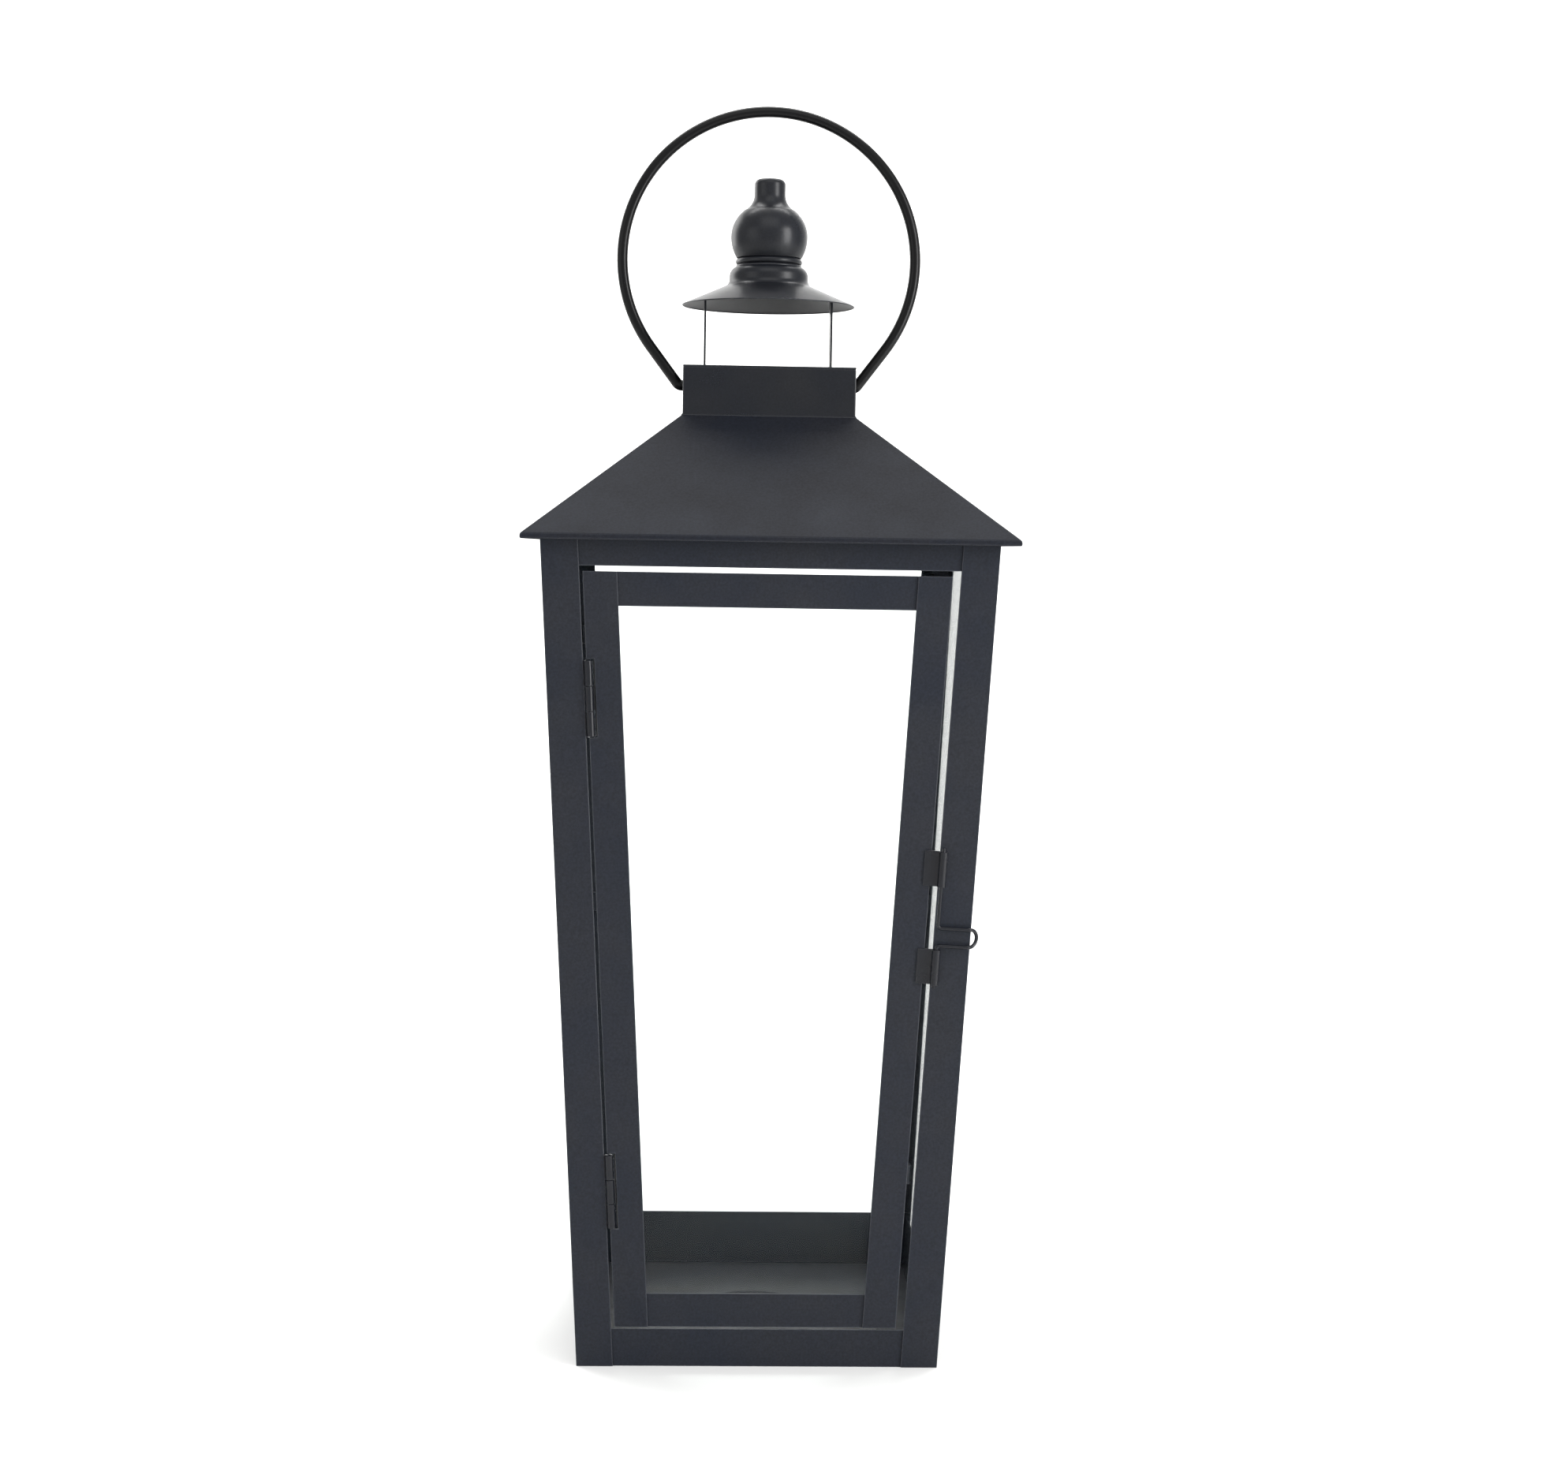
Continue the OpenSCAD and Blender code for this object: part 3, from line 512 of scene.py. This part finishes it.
def makeFinial():
    foot, bead, bulbAt, tip = finial["foot"], finial["bead"], finial["bulbAt"], finial["tip"] / 2
    low, join, high, crown = finial["low"], finial["join"], finial["high"], finial["crown"]
    outline = [(0, 0), (foot - finial["heel"], 0)]
    outline += arc(foot, bead, bead, -80, 92, 14)
    outline.append((foot + 0.1, 2 * bead + 0.1))  # the sharp groove between bead and bulb
    for i in range(41):
        rise = -low + (join + low) * i / 40
        half = finial["fall"] if rise < 0 else finial["rise"]
        outline.append((finial["bulb"] / 2 * math.sqrt(1 - (rise / half) ** 2), bulbAt + rise))
    across = outline[-1][0] - tip
    up = high - finial["tipHigh"] - bulbAt - join
    sweep = (across ** 2 + up ** 2) / across / 2
    start = 180 + math.degrees(math.asin(up / sweep))
    outline += arc(tip + sweep, bulbAt + join + up, sweep, start, 180, 16)[1:]
    outline += arc(tip - crown, high - crown, crown, 0, 90, 10)
    outline.append((0, high))
    points, faces = turned(outline, 144)
    standFor("finial", "turnedFinial", [(x, y, z + finial["at"]) for x, y, z in points], faces, sharp=44)


# rivets through the feet of the cap strips: size is the radius of the head, shank that of the stem
rivets = {"size": 3, "shank": 1.5, "head": 1.2, "at": 27.4, "apart": 4, "low": 479, "high": 481}


def makeRivets():
    low, high, head, shank = rivets["low"], rivets["high"], rivets["head"], rivets["shank"]
    turns = [math.pi * i / 16 for i in range(9)]
    dome = [(rivets["size"] * math.cos(t), head * math.sin(t)) for t in turns]
    outline = [(0, low - head)] + [(r, low - h) for r, h in reversed(dome[:-1])]
    outline += [(shank, low), (shank, high)]
    outline += [(r, high + h) for r, h in dome[:-1]] + [(0, high + head)]
    shape = turned(outline, 32)
    places = [Vector((side * rivets["at"], y * rivets["apart"], 0)) for side in (-1, 1) for y in (-1, 1)]
    rivetSet = joined(*[moved(shape, Matrix.Translation(place)) for place in places])
    standFor("cap_strip_rivets", "domedRivets", *rivetSet, sharp=50)


makeCap()
makeFinial()
makeRivets()
print("cap, finial and rivets made")


# ring handle: one length of wire, bent at each side into a straight leg and a level pin in the collar
ring = {"radius": 73, "wire": 5.36, "leg": 37, "pivot": 472.4, "bend": 3.2, "bendAt": 42.56, "pin": 33,
        "pinMid": 38}


def makeRing():
    leg, radius, pivot, bend = math.radians(ring["leg"]), ring["radius"], ring["pivot"], ring["bend"]
    corner = ring["bendAt"] + bend * math.tan(math.radians((90 - ring["leg"]) / 2))
    run = (radius * math.cos(leg) - corner) / math.sin(leg)
    middle = pivot + radius * math.sin(leg) + run * math.cos(leg)
    half = [(ring["pin"], pivot), (ring["pinMid"], pivot)]
    half += arc(ring["bendAt"], pivot + bend, bend, -90, -ring["leg"], 8)
    startX, startZ = half[-1]
    endX, endZ = radius * math.cos(leg), middle - radius * math.sin(leg)
    half += [(startX + (endX - startX) * k, startZ + (endZ - startZ) * k) for k in (0.33, 0.67)]
    half += arc(0, middle, radius, -ring["leg"], 89, 60)
    path = half + [(-x, z) for x, z in reversed(half)]
    standFor("handle", "bentRing", *wired([(x, 0, z) for x, z in path], ring["wire"], 28))


makeRing()
print("ring handle made")


# hinges: two curled leaves and a pin at each height; dome is the pin's head as (radius, drop)
hinge = {"heights": {"upper": 321, "lower": 86}, "fromSide": 19.8, "fromFront": -0.2, "tall": 35.4,
         "barrel": 4, "sheet": 0.8, "leaf": 11, "gap": 0.3, "clear": 0.1, "pin": 2, "head": 0.5,
         "dome": [(0, 0), (0.8, 0.04), (1.35, 0.2), (1.6, 0.44)]}
# how far sheet is curled round its pin in degrees, and where the leaf's step back begins and ends
curl = {"from": 90, "to": 386, "stepStart": 0.2, "stepEnd": 1.3}


# outline of a leaf that is curled round its pin; side says which way it runs, joggle how far it steps back
def curled(side, length, barrel, thick, joggle=0.0):
    outer, inner = barrel / 2, barrel / 2 - thick
    near, far = outer + curl["stepStart"], outer + curl["stepEnd"]
    line = [(length, outer + joggle)]
    if joggle:
        line += [(far, outer + joggle), (near, outer)]
    line += arc(0, 0, outer, curl["from"], curl["to"], 36) + arc(0, 0, inner, curl["to"], curl["from"], 30)
    if joggle:
        line += [(near, inner), (far, inner + joggle)]
    line.append((length, inner + joggle))
    return [(side * x, y) for x, y in line]


def makeHinges():
    half, gap, outer, sheet = hinge["tall"] / 2, hinge["gap"], hinge["barrel"] / 2, hinge["sheet"]
    knuckle, back, tip = hinge["tall"] / 6, outer + gap + hinge["clear"], hinge["leaf"]
    spans = {"frame": [(-half, -knuckle - gap / 2), (knuckle + gap / 2, half)],
             "door": [(-knuckle + gap / 2, knuckle - gap / 2)]}
    for place, height in hinge["heights"].items():
        at = edgeFrame(-1, hinge["fromSide"], hinge["fromFront"], height)
        for part, side in (("frame", -1), ("door", 1)):
            flat = [(side * back, outer - sheet), (side * tip, outer - sheet), (side * tip, outer),
                    (side * back, outer)]
            shapes = [raised(flat, -half, half)]
            shapes += [raised(curled(side, back + 1, hinge["barrel"], sheet), low, high)
                       for low, high in spans[part]]
            piece = standFor(f"{place}_hinge_{part}_leaf", f"{place}Hinge{part.title()}Leaf",
                             *moved(joined(*shapes), at), sharp=30)
            softenEdges(piece, edges["hardware"])
        dome = [(radius, half + hinge["head"] - drop) for radius, drop in hinge["dome"]]
        dome.append((hinge["pin"] / 2, half))
        outline = [(radius, -z) for radius, z in dome] + list(reversed(dome))
        standFor(f"{place}_hinge_pin", f"{place}HingePin", *moved(turned(outline, 32), at), sharp=60)


# latch: two lugs on the door, and a wire hasp that turns in them and hooks past the post
latch = {"height": 219.5, "fromSide": 16, "fromFront": -2.4, "lug": 16.8, "space": 30, "barrel": 4,
         "sheet": 0.8, "plate": 8.6, "joggle": 0.4, "wire": 1.8, "bend": 1.6, "low": -13.0, "spread": 8.4,
         "over": 2.8, "out": 1.6, "turnBack": math.asin(0.6)}


def makeLugs():
    at = edgeFrame(1, latch["fromSide"], latch["fromFront"], latch["height"])
    for name, low in (("upper", latch["space"] / 2), ("lower", -latch["space"] / 2 - latch["lug"])):
        outline = curled(-1, latch["plate"], latch["barrel"], latch["sheet"], latch["joggle"])
        piece = standFor(f"{name}_latch_lug", f"{name}LatchLug",
                         *moved(raised(outline, low, low + latch["lug"]), at), sharp=30)
        softenEdges(piece, edges["hardware"])


def makeHasp():
    bend, low, high = latch["bend"], latch["low"], latch["low"] + latch["spread"]
    loop, back = latch["spread"] / 2, latch["turnBack"]
    leg = latch["fromSide"] + latch["over"] - bend * (1 + math.sin(back)) - loop * math.cos(back)
    end = latch["space"] / 2 + latch["lug"] + latch["out"]
    # up through the lower lug, out along the post and back round its edge
    half = [(0, 0, -end), (0, 0, -end + 10), (0, 0, low - bend - 4)]
    half += [(x, 0, z) for x, z in arc(bend, low - bend, bend, 180, 90, 8)]
    half += [(bend + leg * k, 0, low) for k in (0.3, 0.7)]
    half += [(x, y, low) for x, y in arc(bend + leg, bend, bend, -90, math.degrees(back) - 90, 6)]
    startX, startY = half[-1][:2]
    loopLine = [(startX + r * math.cos(back), startY + r * math.sin(back), low + loop + z)
                for r, z in arc(0, 0, loop, -90, 90, 20)[1:-1]]
    # the way back is the same, mirrored about the loop's middle, and then on through the upper lug
    path = half + loopLine + [(x, y, 2 * (low + loop) - z) for x, y, z in reversed(half[3:])]
    path += [(0, 0, high + bend + 4), (0, 0, end - 10), (0, 0, end)]
    at = edgeFrame(1, latch["fromSide"], latch["fromFront"], latch["height"])
    standFor("latch_hasp", "bentHasp", *moved(wired(path, latch["wire"], 16), at))


makeHinges()
makeLugs()
makeHasp()
print("hinges and latch made")


# a run of solder where the collar stands on the roof; bury is how far it reaches behind the collar's face
seam = {"half": 42, "at": 456, "wide": 1.0, "least": 0.8, "most": 1.1, "bury": 0.15, "below": 0.6,
        "count": 48}


def makeSeam():
    points, faces, count, half = [], [], seam["count"], seam["half"]
    for corner in range(4):
        turn = Matrix.Rotation(math.pi / 2 * corner, 4, "Z")
        start = len(points)
        for i in range(count + 1):
            x = -half + 2 * half * i / count
            size = seam["wide"] * random.uniform(seam["least"], seam["most"])
            section = [(seam["bury"], 0.55 * size), (-0.3 * size, 0.22 * size), (-0.62 * size, -0.35 * size),
                       (seam["bury"], -seam["below"])]
            points += [turn @ Vector((x, -half + y, seam["at"] + z)) for y, z in section]
        for i in range(count):
            for k in range(4):
                a, b = start + 4 * i + k, start + 4 * i + (k + 1) % 4
                faces.append((a, b, b + 4, a + 4))
        faces += [[start + 3, start + 2, start + 1, start], [start + 4 * count + k for k in range(4)]]
    placePiece("solderSeam", points, faces, slotOf["collar"], bodyOf["collar"], sharp=70)


makeSeam()


# the sheet-steel and glass nodes keep their own shape, with softened edges and a finish
def finishNodes():
    for name, node in nodes.items():
        if node.hide_render:
            continue
        node.data.materials.clear()
        node.data.materials.append(finishes[slotOf[name]])
        kind = "glass" if name.endswith("_glass") else name
        softenEdges(node, edges.get(kind, edges["sheet"]))


finishNodes()
print("seam and sheet nodes finished")
